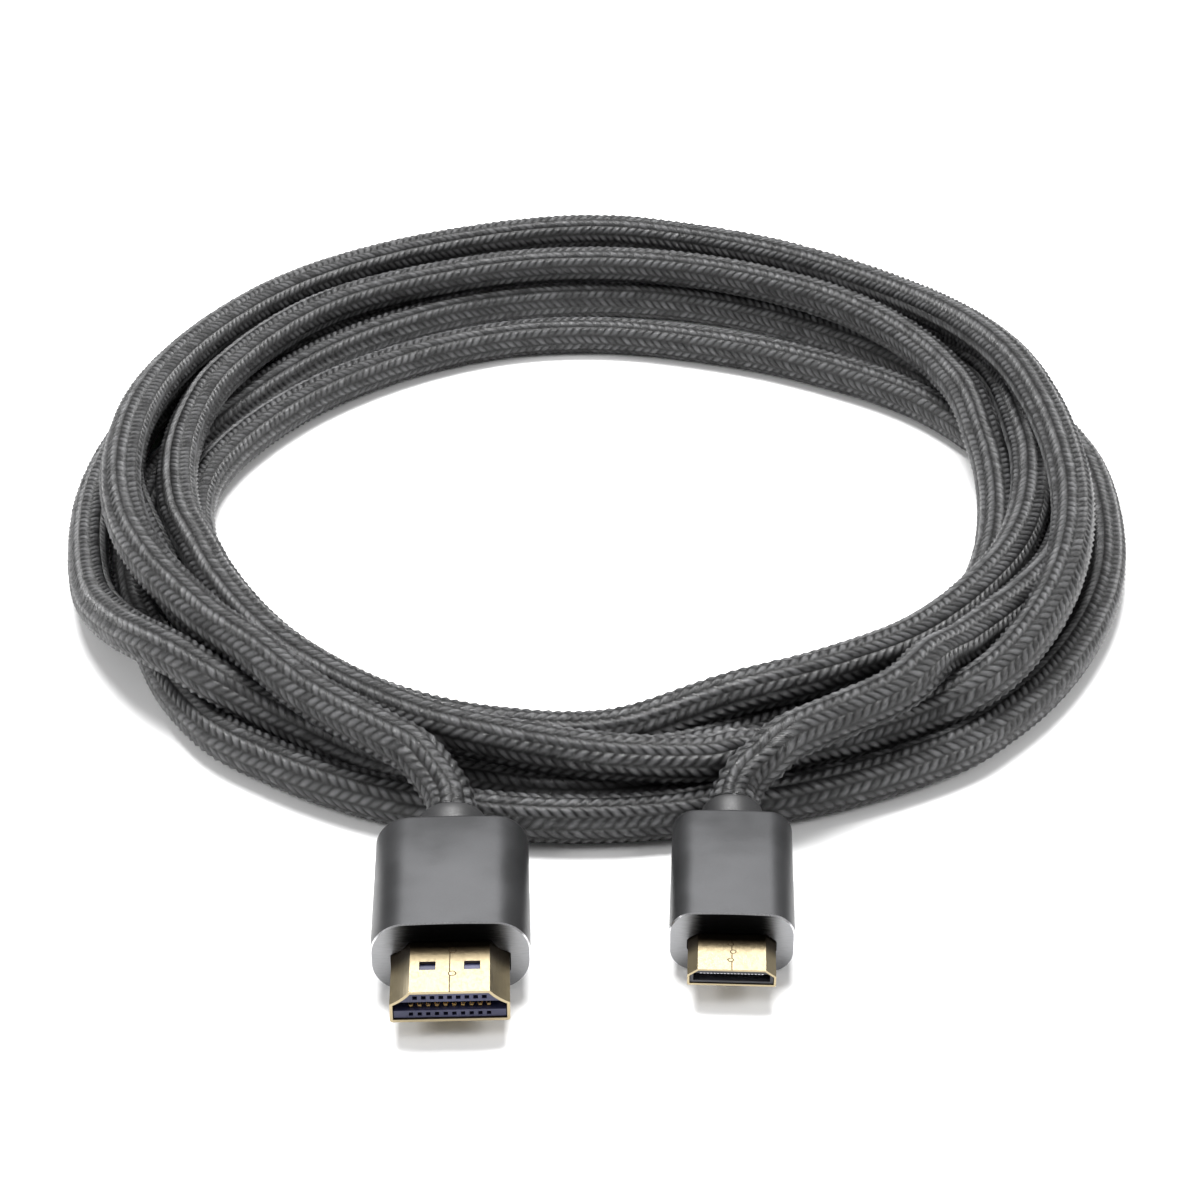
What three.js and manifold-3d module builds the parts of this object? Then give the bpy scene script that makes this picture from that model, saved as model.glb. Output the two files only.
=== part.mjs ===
// Braided audio and video cable, hand-coiled and lying flat, with a type A plug on one end and a mini
// plug on the other. Millimetres, +Z up. The origin is on the floor under the middle of the cable,
// and the plugs point towards -Y. Each plug has its own frame: x across, y from its front face
// backwards, z up, with its origin on the floor under the front edge of its housing.
import * as THREE from "three";
import { mergeVertices } from "three/addons/utils/BufferGeometryUtils.js";
import Module from "manifold-3d";

const wasm = await Module();
wasm.setup();

// Clearance between pieces that meet face to face
const FACE_GAP = 0.3;

// Cable and its coil, an oval bundle that is narrow at the front, where both ends come out of it
const CABLE_DIAMETER = 6.6;
const CABLE_SIDES = 12;
const CABLE_STEP = 9;
const COIL_OUTER_HALF_WIDTH = 82;
const COIL_OUTER_FRONT = -77.5;
const COIL_OUTER_BACK = 114.5;
const COIL_INNER_HALF_WIDTH = 60;
const COIL_INNER_FRONT = -53;
const COIL_INNER_BACK = 75;
const COIL_SEGMENTS = 56;
const COIL_ARC_STEP = 30;

// How far each housing's front face stands in front of the coil
const TYPE_A_STAND_OFF = 27.77;
const MINI_STAND_OFF = 24.07;

// Type A plug
const TYPE_A = {
  name: "type_a",
  at: [-17.6, COIL_OUTER_FRONT - TYPE_A_STAND_OFF],
  yaw: 2,
  noseDown: 2.5,
  housingWidth: 18.9,
  housingHeight: 10.3,
  housingLength: 21.4,
  housingCorner: 4.3,
  shellWidth: 13.9,
  shellHeight: 4.45,
  shellTopWidth: 9.3,
  shellShoulderHeight: 2.65,
  shellShoulderHollow: 0.3,
  shellReach: 8.8,
  shellWall: 0.35,
  shellCorner: 0.4,
  insulatorRecess: 0.25,
  insulatorGap: 0.1,
  slotFloor: 1.5,
  slotHeight: 1.25,
  slotSideWall: 0,
  slotDepth: 6.5,
  contactPitch: 1,
  contactWidth: 0.5,
  contactThickness: 0.25,
  contactLength: 5.2,
  contactSetback: 0.5,
  lowerContacts: 10,
  upperContacts: 9,
  reliefDiameter: 9.2,
  reliefLength: 4.2,
};

// Mini plug
const MINI = {
  name: "mini",
  at: [15.7, COIL_OUTER_FRONT - MINI_STAND_OFF],
  yaw: -2.4,
  noseDown: 2.5,
  housingWidth: 15,
  housingHeight: 8.9,
  housingLength: 21,
  housingCorner: 3.1,
  shellWidth: 10.42,
  shellHeight: 2.42,
  shellTopWidth: 8,
  shellShoulderHeight: 1.5,
  shellShoulderHollow: 0,
  shellReach: 6.4,
  shellWall: 0.25,
  shellCorner: 0.25,
  insulatorRecess: 0.15,
  insulatorGap: 0.1,
  slotFloor: 0.62,
  slotHeight: 1.1,
  slotSideWall: 0.35,
  slotDepth: 4.6,
  contactPitch: 0.4,
  contactWidth: 0.22,
  contactThickness: 0.16,
  contactLength: 3.8,
  contactSetback: 0.2,
  lowerContacts: 0,
  upperContacts: 19,
  reliefDiameter: 8,
  reliefLength: 4,
};

// Fits and finishes shared by both plugs
const SHELL_SEAT = 4;
const SHELL_CLEARANCE = 0.12;
const CONTACT_CLEARANCE = 0.06;
const HOUSING_CROWN = 0.2;
const HOUSING_EDGE = 0.3;
const LATCH_WINDOW = { width: 1.9, length: 1.5, spacing: 5.2, setback: 3.9 };
const RELIEF_STRAIGHT = 1.2;
const RELIEF_LIP = 0.35;

// Leads: each climbs from its strain relief over the outermost turn into the top row of the coil
const TYPE_A_LEAD = [
  [-19.6, -75.4, 8.6],
  [-22.6, -71.4, 10.1],
  [-28.2, -67, 10.2],
  [-35, -61.6, 9.6],
  [-43, -54.6, 9.1],
];
const MINI_LEAD = [
  [17.6, -73.5, 7.2],
  [19.6, -70.8, 9.2],
  [24.4, -67.8, 10.3],
  [32, -63.6, 10.2],
  [41, -57.4, 9.6],
];

const GREY_METAL = new THREE.MeshStandardMaterial({ color: 0x77797c, roughness: 0.42, metalness: 0.85 });
const GOLD_PLATE = new THREE.MeshStandardMaterial({ color: 0xd6c08a, roughness: 0.25, metalness: 1 });
const BLUE_BLACK_PLASTIC = new THREE.MeshStandardMaterial({ color: 0x2c2f45, roughness: 0.5 });
const BLACK_PLASTIC = new THREE.MeshStandardMaterial({ color: 0x25262b, roughness: 0.5 });
const SILVER_PLATE = new THREE.MeshStandardMaterial({ color: 0xb9bcc2, roughness: 0.3, metalness: 1 });
const DARK_RUBBER = new THREE.MeshStandardMaterial({ color: 0x3b3b3d, roughness: 0.7 });
const BRAID = new THREE.MeshStandardMaterial({ color: 0x4c4d50, roughness: 0.75 });

const radians = THREE.MathUtils.degToRad;

function named(name, geometry, material) {
  const mesh = new THREE.Mesh(geometry, material);
  mesh.name = name;
  return mesh;
}

// A closed geometry as a solid that can be cut and joined
function solidOf(geometry) {
  const bare = geometry.clone();
  bare.deleteAttribute("normal");
  bare.deleteAttribute("uv");
  const merged = mergeVertices(bare, 1e-4);
  return new wasm.Manifold(
    new wasm.Mesh({
      numProp: 3,
      vertProperties: merged.attributes.position.array,
      triVerts: new Uint32Array(merged.index.array),
    }),
  );
}

// A solid as a geometry again
function geometryOf(solid) {
  const made = solid.getMesh();
  const geometry = new THREE.BufferGeometry();
  geometry.setAttribute("position", new THREE.BufferAttribute(new Float32Array(made.vertProperties), 3));
  geometry.setIndex(new THREE.BufferAttribute(new Uint32Array(made.triVerts), 1));
  geometry.computeVertexNormals();
  return geometry;
}

// A block that spans x symmetrically, y and z between the given limits
function block(width, yFront, yBack, zLow, zHigh) {
  const geometry = new THREE.BoxGeometry(width, yBack - yFront, zHigh - zLow);
  return geometry.translate(0, (yFront + yBack) / 2, (zLow + zHigh) / 2);
}

// A shape drawn in x and z, extruded along y between two limits
function extrudeAlongY(shape, yFront, yBack, edge = 0) {
  const geometry = new THREE.ExtrudeGeometry(shape, {
    depth: yBack - yFront - 2 * edge,
    bevelEnabled: edge > 0,
    bevelThickness: edge,
    bevelSize: edge,
    bevelOffset: -edge,
    bevelSegments: 2,
    curveSegments: 6,
  });
  return geometry.translate(0, 0, edge - (yBack - yFront)).rotateX(Math.PI / 2).translate(0, yFront, 0);
}

// Section of a housing: round corners, and a slight crown on its broad sides
function housingShape(plug) {
  const half = plug.housingWidth / 2;
  const top = plug.housingHeight;
  const r = plug.housingCorner;
  const shape = new THREE.Shape();
  shape.moveTo(r - half, HOUSING_CROWN);
  shape.quadraticCurveTo(0, -HOUSING_CROWN, half - r, HOUSING_CROWN);
  shape.absarc(half - r, r, r - HOUSING_CROWN / 2, -Math.PI / 2, 0, false);
  shape.absarc(half - r, top - r, r - HOUSING_CROWN / 2, 0, Math.PI / 2, false);
  shape.quadraticCurveTo(0, top + HOUSING_CROWN, r - half, top - HOUSING_CROWN);
  shape.absarc(r - half, top - r, r - HOUSING_CROWN / 2, Math.PI / 2, Math.PI, false);
  shape.absarc(r - half, r, r - HOUSING_CROWN / 2, Math.PI, Math.PI * 1.5, false);
  return shape;
}

// Section of a plug shell, wide side down, moved inwards all round by inset
function shellPath(plug, inset, path) {
  const half = plug.shellWidth / 2;
  const topHalf = plug.shellTopWidth / 2;
  const slope = Math.atan2(plug.shellHeight - plug.shellShoulderHeight, half - topHalf);
  const low = shellBase(plug) + inset;
  const high = shellBase(plug) + plug.shellHeight - inset;
  const side = half - inset;
  const shoulder = shellBase(plug) + plug.shellShoulderHeight - inset * Math.tan((Math.PI / 2 - slope) / 2);
  const topSide = topHalf - inset * Math.tan(slope / 2);
  const corner = Math.max(plug.shellCorner - inset, 0.05);
  const bendX = (side + topSide) / 2 - plug.shellShoulderHollow * Math.sin(slope);
  const bendZ = (shoulder + high) / 2 - plug.shellShoulderHollow * Math.cos(slope);
  path.moveTo(corner - side, low);
  path.lineTo(side - corner, low);
  path.quadraticCurveTo(side, low, side, low + corner);
  path.lineTo(side, shoulder);
  path.quadraticCurveTo(bendX, bendZ, topSide, high);
  path.lineTo(-topSide, high);
  path.quadraticCurveTo(-bendX, bendZ, -side, shoulder);
  path.lineTo(-side, low + corner);
  path.quadraticCurveTo(-side, low, corner - side, low);
  return path;
}

// Height of a shell's underside, which centres the shell in its housing
function shellBase(plug) {
  return (plug.housingHeight - plug.shellHeight) / 2;
}

function housing(plug) {
  const body = solidOf(extrudeAlongY(housingShape(plug), 0, plug.housingLength, HOUSING_EDGE));
  const socket = shellPath(plug, -SHELL_CLEARANCE, new THREE.Shape());
  const cut = extrudeAlongY(socket, -1, SHELL_SEAT + FACE_GAP);
  return geometryOf(body.subtract(solidOf(cut)));
}

// The rolled shell, with the windows that the socket's springs latch into
function shell(plug) {
  const ring = shellPath(plug, 0, new THREE.Shape());
  ring.holes.push(shellPath(plug, plug.shellWall, new THREE.Path()));
  let tube = solidOf(extrudeAlongY(ring, -plug.shellReach, SHELL_SEAT));
  if (plug.lowerContacts > 0) {
    const top = shellBase(plug) + plug.shellHeight;
    const front = LATCH_WINDOW.setback - plug.shellReach;
    for (const side of [-1, 1]) {
      const window = block(LATCH_WINDOW.width, front, front + LATCH_WINDOW.length, top - 2 * plug.shellWall, top + 1);
      window.translate((side * LATCH_WINDOW.spacing) / 2, 0, 0);
      tube = tube.subtract(solidOf(window));
    }
  }
  return geometryOf(tube);
}

// The moulded block that carries the contacts on both sides of its slot
function insulator(plug) {
  const outline = shellPath(plug, plug.shellWall + plug.insulatorGap, new THREE.Shape());
  const front = plug.insulatorRecess - plug.shellReach;
  const body = solidOf(extrudeAlongY(outline, front, SHELL_SEAT));
  const width = plug.slotSideWall > 0 ? insulatorWidth(plug) - 2 * plug.slotSideWall : plug.shellWidth;
  const floor = shellBase(plug) + plug.slotFloor;
  const slot = block(width, front - 1, front + plug.slotDepth, floor, floor + plug.slotHeight);
  return geometryOf(body.subtract(solidOf(slot)));
}

function insulatorWidth(plug) {
  return plug.shellWidth - 2 * (plug.shellWall + plug.insulatorGap);
}

// One row of spring contacts along the slot's floor or under its roof
function addContacts(group, plug, row, count, material) {
  const front = plug.insulatorRecess - plug.shellReach + plug.contactSetback;
  const floor = shellBase(plug) + plug.slotFloor;
  const low = row === "lower"
    ? floor + CONTACT_CLEARANCE
    : floor + plug.slotHeight - CONTACT_CLEARANCE - plug.contactThickness;
  for (let i = 0; i < count; i++) {
    const strip = block(plug.contactWidth, front, front + plug.contactLength, low, low + plug.contactThickness);
    strip.translate((i - (count - 1) / 2) * plug.contactPitch, 0, 0);
    group.add(named(`${plug.name}_contact_${row}_${String(i + 1).padStart(2, "0")}`, strip, material));
  }
}

// Moulded dome behind the housing, which the cable leaves through
function strainRelief(plug) {
  const r = plug.reliefDiameter / 2;
  const mouth = CABLE_DIAMETER / 2 + RELIEF_LIP;
  const dome = new THREE.Path();
  dome.moveTo(0, 0);
  dome.lineTo(r, 0);
  dome.lineTo(r, RELIEF_STRAIGHT);
  dome.quadraticCurveTo(r, plug.reliefLength - RELIEF_LIP, mouth, plug.reliefLength);
  dome.lineTo(0, plug.reliefLength);
  const geometry = new THREE.LatheGeometry(dome.getPoints(5), 28);
  return geometry.translate(0, plug.housingLength + FACE_GAP, plug.housingHeight / 2);
}

function makePlug(plug, contactMaterial, insulatorMaterial) {
  const group = new THREE.Group();
  group.add(named(`${plug.name}_housing`, housing(plug), GREY_METAL));
  group.add(named(`${plug.name}_shell`, shell(plug), GOLD_PLATE));
  group.add(named(`${plug.name}_insulator`, insulator(plug), insulatorMaterial));
  addContacts(group, plug, "lower", plug.lowerContacts, contactMaterial);
  addContacts(group, plug, "upper", plug.upperContacts, contactMaterial);
  group.add(named(`${plug.name}_strain_relief`, strainRelief(plug), DARK_RUBBER));
  const turn = new THREE.Matrix4().makeRotationZ(radians(plug.yaw));
  const tip = new THREE.Matrix4().makeRotationX(radians(plug.noseDown));
  group.quaternion.setFromRotationMatrix(turn.multiply(tip));
  group.position.set(plug.at[0], plug.at[1], 0);
  group.updateMatrixWorld(true);
  return group;
}

// Outline of the bundle: three turns side by side on the floor, two lying on them and one on top, as
// points of (share of the bundle's width, height). Each arc is one turn's open side, in degrees.
function bundleSection(grow) {
  const turnsOnFloor = 3;
  const r = CABLE_DIAMETER / 2;
  const across = 1 / (2 * turnsOnFloor);
  const second = r * (1 + Math.sqrt(3));
  const third = r * (1 + 2 * Math.sqrt(3));
  const arcs = [
    { t: across, z: r, from: -90, to: -285 },
    { t: 2 * across, z: second, from: 225, to: 75 },
    { t: 3 * across, z: third, from: 225, to: -45 },
    { t: 4 * across, z: second, from: 105, to: -45 },
    { t: 5 * across, z: r, from: 105, to: -90 },
  ];
  const points = [];
  for (const arc of arcs) {
    const steps = Math.ceil(Math.abs(arc.to - arc.from) / COIL_ARC_STEP);
    for (let i = 0; i <= steps; i++) {
      const angle = radians(arc.from + ((arc.to - arc.from) * i) / steps);
      const share = arc.t + across * (1 + grow / r) * Math.cos(angle);
      points.push(new THREE.Vector2(1 + share, arc.z + (r + grow) * Math.sin(angle)));
    }
  }
  points.push(points[0].clone());
  return points.reverse();
}

// The coil as one ring: the turned bundle section, spread between the inner and the outer oval
function coilGeometry(grow = 0) {
  const ring = new THREE.LatheGeometry(bundleSection(grow), COIL_SEGMENTS).rotateX(Math.PI / 2);
  const place = ring.attributes.position;
  const innerMiddle = (COIL_INNER_FRONT + COIL_INNER_BACK) / 2;
  const outerMiddle = (COIL_OUTER_FRONT + COIL_OUTER_BACK) / 2;
  const innerDepth = (COIL_INNER_BACK - COIL_INNER_FRONT) / 2;
  const outerDepth = (COIL_OUTER_BACK - COIL_OUTER_FRONT) / 2;
  for (let i = 0; i < place.count; i++) {
    const radius = Math.hypot(place.getX(i), place.getY(i));
    const across = place.getX(i) / radius;
    const along = place.getY(i) / radius;
    const share = radius - 1;
    const width = THREE.MathUtils.lerp(COIL_INNER_HALF_WIDTH, COIL_OUTER_HALF_WIDTH, share);
    const depth = THREE.MathUtils.lerp(innerDepth, outerDepth, share);
    const middle = THREE.MathUtils.lerp(innerMiddle, outerMiddle, share);
    place.setXY(i, across * width, middle + along * depth);
  }
  return ring;
}

// A stretch of cable along a smooth route
function cableTube(points) {
  const route = new THREE.CatmullRomCurve3(points);
  const circle = new THREE.Shape();
  for (let i = 0; i < CABLE_SIDES; i++) {
    const angle = (2 * Math.PI * i) / CABLE_SIDES;
    const x = (CABLE_DIAMETER / 2) * Math.cos(angle);
    const y = (CABLE_DIAMETER / 2) * Math.sin(angle);
    if (i === 0) circle.moveTo(x, y);
    else circle.lineTo(x, y);
  }
  circle.closePath();
  const steps = Math.ceil(route.getLength() / CABLE_STEP) * 2;
  return new THREE.ExtrudeGeometry(circle, { steps, extrudePath: route, bevelEnabled: false });
}

// The lead between a strain relief and the coil, cut off where it joins the top row of turns
function lead(plug, group, chosen) {
  const start = plug.housingLength + plug.reliefLength + 2 * FACE_GAP;
  const ends = [0, CABLE_DIAMETER / 4].map((further) =>
    new THREE.Vector3(0, start + further, plug.housingHeight / 2).applyMatrix4(group.matrixWorld),
  );
  const points = [...ends, ...chosen.map((p) => new THREE.Vector3(...p))];
  const free = solidOf(cableTube(points)).subtract(solidOf(coilGeometry(FACE_GAP)));
  const pieces = free.decompose().sort((a, b) => b.volume() - a.volume());
  return geometryOf(pieces[0]);
}

const typeAPlug = makePlug(TYPE_A, GOLD_PLATE, BLUE_BLACK_PLASTIC);
const miniPlug = makePlug(MINI, SILVER_PLATE, BLACK_PLASTIC);

const cable = new THREE.Group();
cable.add(typeAPlug);
cable.add(miniPlug);
cable.add(named("cable_coil", coilGeometry(), BRAID));
cable.add(named("cable_lead_type_a", lead(TYPE_A, typeAPlug, TYPE_A_LEAD), BRAID));
cable.add(named("cable_lead_mini", lead(MINI, miniPlug, MINI_LEAD), BRAID));

export default cable;
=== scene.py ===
# Braided audio and video cable, hand-coiled and lying flat, with a type A plug on one end and a mini
# plug on the other. The file follows the object: view, floor and light, the cable's route and its
# sleeve, then the plugs' housings, shells, inserts, contacts and strain reliefs.
import math

import bmesh
import bpy
import numpy as np
from mathutils import Matrix, Vector


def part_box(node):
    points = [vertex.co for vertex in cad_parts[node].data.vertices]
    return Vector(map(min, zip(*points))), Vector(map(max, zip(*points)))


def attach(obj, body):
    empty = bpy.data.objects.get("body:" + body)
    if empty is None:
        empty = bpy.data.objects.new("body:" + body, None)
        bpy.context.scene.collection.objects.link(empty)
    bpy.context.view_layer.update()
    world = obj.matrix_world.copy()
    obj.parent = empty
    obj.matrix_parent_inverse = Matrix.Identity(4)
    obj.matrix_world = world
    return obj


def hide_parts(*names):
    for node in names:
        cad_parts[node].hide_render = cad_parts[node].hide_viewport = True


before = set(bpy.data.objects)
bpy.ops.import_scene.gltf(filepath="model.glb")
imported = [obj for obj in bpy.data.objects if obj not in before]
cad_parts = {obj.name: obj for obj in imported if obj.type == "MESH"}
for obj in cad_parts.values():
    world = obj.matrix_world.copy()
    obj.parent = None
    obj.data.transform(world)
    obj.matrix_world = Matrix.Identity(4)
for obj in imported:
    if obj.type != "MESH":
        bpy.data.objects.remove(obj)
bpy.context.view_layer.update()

# View
# A product photographer's camera: it stands on the floor's middle line in front of the coil and looks
# down over the plugs at about thirty degrees, from near enough for the plugs to look larger.
CAMERA_PLACE = (0.0, -0.3615, 0.19846)
CAMERA_TILT_DOWN = 29.52
CAMERA_LENS = 81.0

camera = bpy.data.objects.new("camera", bpy.data.cameras.new("camera"))
camera.data.lens = CAMERA_LENS
camera.data.sensor_width = 36.0
camera.data.clip_start = 0.01
camera.data.clip_end = 20.0
camera.location = CAMERA_PLACE
camera.rotation_euler = (math.radians(90 - CAMERA_TILT_DOWN), 0, 0)
bpy.context.scene.collection.objects.link(camera)
bpy.context.scene.camera = camera
bpy.context.scene.view_settings.view_transform = "Standard"

# Floor and light
# A seamless sheet of white card under one large soft box, with a smaller one low at each side. They leave
# a faint shadow under the cable.
FLOOR_HALF_SIZE = 4.0
SKY_STRENGTH = 0.38

floor_mesh = bpy.data.meshes.new("floor_card")
floor_corners = [
    (-FLOOR_HALF_SIZE, -FLOOR_HALF_SIZE, 0),
    (FLOOR_HALF_SIZE, -FLOOR_HALF_SIZE, 0),
    (FLOOR_HALF_SIZE, FLOOR_HALF_SIZE, 0),
    (-FLOOR_HALF_SIZE, FLOOR_HALF_SIZE, 0),
]
floor_mesh.from_pydata(floor_corners, [], [(0, 1, 2, 3)])
floor_card = bpy.data.objects.new("floor_card", floor_mesh)
bpy.context.scene.collection.objects.link(floor_card)
white_card = bpy.data.materials.new("white_card")
white_card.use_nodes = True
card_shader = white_card.node_tree.nodes["Principled BSDF"]
card_shader.inputs["Base Color"].default_value = (0.92, 0.92, 0.92, 1)
card_shader.inputs["Roughness"].default_value = 0.5
floor_mesh.materials.append(white_card)


def add_soft_box(name, place, target, width, depth, power):
    """A rectangular lamp at a place, turned towards its target."""
    light = bpy.data.lights.new(name, "AREA")
    light.shape = "RECTANGLE"
    light.size = width
    light.size_y = depth
    light.energy = power
    lamp = bpy.data.objects.new(name, light)
    lamp.location = place
    lamp.rotation_euler = (Vector(target) - Vector(place)).to_track_quat("-Z", "Y").to_euler()
    bpy.context.scene.collection.objects.link(lamp)


add_soft_box("soft_box_top", (-0.05, 0.3, 0.85), (0, 0.02, 0), 0.55, 0.4, 19)
add_soft_box("soft_box_left", (-0.7, -0.3, 0.5), (0, 0, 0.01), 0.3, 0.3, 3.5)
add_soft_box("soft_box_right", (0.7, -0.2, 0.5), (0, 0, 0.01), 0.3, 0.3, 3.0)
studio = bpy.data.worlds.new("studio")
studio.use_nodes = True
studio.node_tree.nodes["Background"].inputs["Color"].default_value = (1, 1, 1, 1)
studio.node_tree.nodes["Background"].inputs["Strength"].default_value = SKY_STRENGTH
bpy.context.scene.world = studio

# Cable
# One round cable, wound by hand into a loose oval of six turns and laid down flat, so that its turns lie
# beside and across each other in up to three layers. Both ends come out at the front, into the plugs.
MM = 0.001
CABLE_DIAMETER = 6.6 * MM
COIL_HALF_WIDTH = 81 * MM
COIL_FRONT = -77.5 * MM
COIL_BACK = 114.5 * MM
STATIONS_PER_TURN = 16

# Each lead's route in millimetres, from its strain relief up over the outermost turn
TYPE_A_LEAD = [
    (-19.6, -75.4, 8.6), (-22.6, -71.4, 10.1), (-28.2, -67, 10.2), (-35, -61.6, 9.6), (-43, -54.6, 9.1),
]
MINI_LEAD = [
    (17.6, -73.5, 7.2), (19.6, -70.8, 9.2), (24.4, -67.8, 10.3), (32, -63.6, 10.2), (41, -57.4, 9.6),
]

# Each turn as (station, millimetres inwards from the outer oval, height of the middle line). Stations run
# from the front (0) by the left (4), the back (8) and the right (12) to the front again.
TURNS = [
    [
        (2, 7, 9.6), (3, 6.4, 12), (4, 8, 14.4), (5, 8, 13.8), (6, 6, 12.6), (7, 3.6, 10.8),
        (8, 2.2, 9.9), (9, 4.8, 9.8), (10, 8, 10.5), (11, 12, 13.4), (12, 11.8, 14.4), (13, 8.6, 13.4),
        (14, 4.8, 10.6), (14.6, 6.6, 8.6), (15.1, 7.6, 8.2), (15.5, 7, 8.4),
    ],
    [
        (0, 7.6, 9), (0.5, 9.6, 9.4), (1, 11, 9.4), (2, 12.6, 9.3), (3, 12.8, 9.3), (4, 13.2, 9.2),
        (5, 12.8, 9.2), (6, 12.8, 9.2), (7, 16.8, 9.2), (8, 18.4, 9.2), (9, 18.2, 9.2), (10, 16.8, 9.2),
        (11, 16.4, 8), (12, 17.2, 5.2), (13, 17.6, 3.8), (14, 19.2, 3.4), (15, 17.4, 3.3),
    ],
    [
        (0, 15.2, 3.3), (1, 15.8, 3.3), (2, 15.2, 3.3), (3, 10.5, 6), (4, 6.2, 8.8), (5, 6, 7.5),
        (6, 8.2, 4.4), (7, 10, 3.3), (8, 10.2, 3.3), (9, 9.8, 3.3), (10, 9.4, 3.6), (11, 10.4, 8),
        (12, 12.8, 8.9), (13, 14.2, 9.2), (14, 15.8, 9.6), (14.6, 17.6, 9.3), (15, 19.2, 8.2),
        (15.5, 21, 5.4),
    ],
    [
        (0, 21.6, 3.3), (1, 20.8, 3.3), (2, 19.6, 3.3), (3, 18.2, 3.3), (4, 18, 3.3), (5, 24.2, 3.3),
        (6, 30.2, 3.3), (7, 34, 3.3), (8, 35.9, 3.3), (9, 35.4, 3.3), (10, 29.8, 3.3), (11, 19.4, 3.3),
        (12, 11.6, 3.3), (13, 10.6, 3.3), (14, 11.6, 3.3), (15, 11.6, 3.3),
    ],
    [
        (0, 9.6, 3.3), (1, 9.8, 3.3), (1.5, 8.4, 6), (2, 5.6, 8.4), (2.5, 3.6, 6.6), (3, 3, 4.2),
        (4, 3.2, 3.3), (5, 3, 3.3), (6, 3, 3.3), (7, 2.8, 3.3), (8, 2, 3.3), (9, 0.8, 3.3),
        (10, 2.4, 3.3), (11, 6.4, 3.3), (12, 5.8, 3.3), (13, 4.2, 3.3), (14, 3.6, 3.3), (15, 4.2, 3.3),
    ],
    [
        (0, 3.8, 3.3), (1, 3.6, 3.3), (2, 5.4, 3.3), (3, 10.6, 3.3), (4, 11.6, 3.3), (5, 16.2, 3.3),
        (6, 17.8, 3.3), (7, 18.4, 3.3), (8, 19.2, 3.3), (9, 18.6, 3.3), (10, 16.6, 3.3), (11, 13, 4.5),
        (12, 7.6, 8.6), (13, 7.8, 8.8), (14, 8.4, 9),
    ],
]

ROUTE_STEP = 3 * MM
POINTS_PER_KNOT = 24
RELIEF_STRAIGHT = 1.5

# How the cable settles: it sinks a little each round, and where two turns touch, they push each other apart
SETTLING_ROUNDS = 300
SETTLING_SMOOTHNESS = 9
PUSHES_PER_ROUND = 4
PUSH_SHARE = 0.3
SINKING = 0.05 * MM
PULL_BACK = 0.985
HELD_STEPS = 4
CONTACT = 6.4 * MM
SEARCH_REACH = 1.5 * CABLE_DIAMETER
SAME_STRAND = 2.6 * CABLE_DIAMETER

# Where each plug lies: the floor point under the front of its housing, which way it turns, and how far
# behind that its strain relief ends. The relief is bent upwards there by the cable.
NOSE_DOWN = math.radians(2.5)
PLUGS = {
    "type_a": {"at": (-17.6, -105.27), "yaw": 2, "end": 25.9, "middle": 6.2, "climb": 0.35},
    "mini": {"at": (15.7, -101.57), "yaw": -2.4, "end": 25.3, "middle": 5.4, "climb": 0.35},
}


def plug_frame(plug):
    """A plug's own frame in millimetres: x across, y from its housing's front face backwards, z up."""
    turned = Matrix.Rotation(math.radians(plug["yaw"]), 4, "Z") @ Matrix.Rotation(NOSE_DOWN, 4, "X")
    return Matrix.Scale(MM, 4) @ Matrix.Translation((*plug["at"], 0)) @ turned


def coil_point(station, lane, height):
    """A point of the coil: its place round the oval, and how far in from the oval it lies."""
    angle = 2 * math.pi * station / STATIONS_PER_TURN
    half_depth = (COIL_BACK - COIL_FRONT) / 2
    middle = (COIL_BACK + COIL_FRONT) / 2
    on_oval = Vector((-COIL_HALF_WIDTH * math.sin(angle), middle - half_depth * math.cos(angle)))
    inwards = Vector((half_depth * math.sin(angle), COIL_HALF_WIDTH * math.cos(angle))).normalized()
    place = on_oval + inwards * lane * MM
    return (place.x, place.y, height * MM)


def evenly_spaced(curve, step):
    """The same curve as points about one step apart."""
    run = np.concatenate([[0], np.cumsum(np.linalg.norm(np.diff(curve, axis=0), axis=1))])
    count = max(2, round(run[-1] / step)) + 1
    at = np.linspace(0, run[-1], count)
    return np.stack([np.interp(at, run, curve[:, i]) for i in range(3)], axis=1)


def smooth_through(points, step):
    """A smooth curve through the given points, as points one step apart."""
    knots = np.array(points, float)
    gaps = np.linalg.norm(np.diff(knots, axis=0), axis=1) ** 0.5
    at = np.concatenate([[0], np.cumsum(gaps)])
    slope = np.gradient(knots, at, axis=0)
    fine = np.linspace(0, at[-1], POINTS_PER_KNOT * len(knots))
    k = np.clip(np.searchsorted(at, fine) - 1, 0, len(gaps) - 1)
    h = gaps[k][:, None]
    t = ((fine - at[k]) / gaps[k])[:, None]
    curve = (
        (2 * t**3 - 3 * t**2 + 1) * knots[k]
        + (t**3 - 2 * t**2 + t) * h * slope[k]
        + (3 * t**2 - 2 * t**3) * knots[k + 1]
        + (t**3 - t**2) * h * slope[k + 1]
    )
    return evenly_spaced(curve, step)


def route_points():
    """The whole route: out of the type A plug, six times round, and into the mini plug."""
    ends = {}
    for name, plug in PLUGS.items():
        behind = [(back, plug["middle"] + plug["climb"] * back) for back in (0, RELIEF_STRAIGHT)]
        ends[name] = [plug_frame(plug) @ Vector((0, plug["end"] + back, height)) for back, height in behind]
    route = [tuple(point) for point in ends["type_a"]]
    route += [(x * MM, y * MM, z * MM) for x, y, z in TYPE_A_LEAD]
    for stations in TURNS:
        route += [coil_point(*station) for station in stations]
    route += [(x * MM, y * MM, z * MM) for x, y, z in reversed(MINI_LEAD)]
    route += [tuple(point) for point in reversed(ends["mini"])]
    return route


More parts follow.
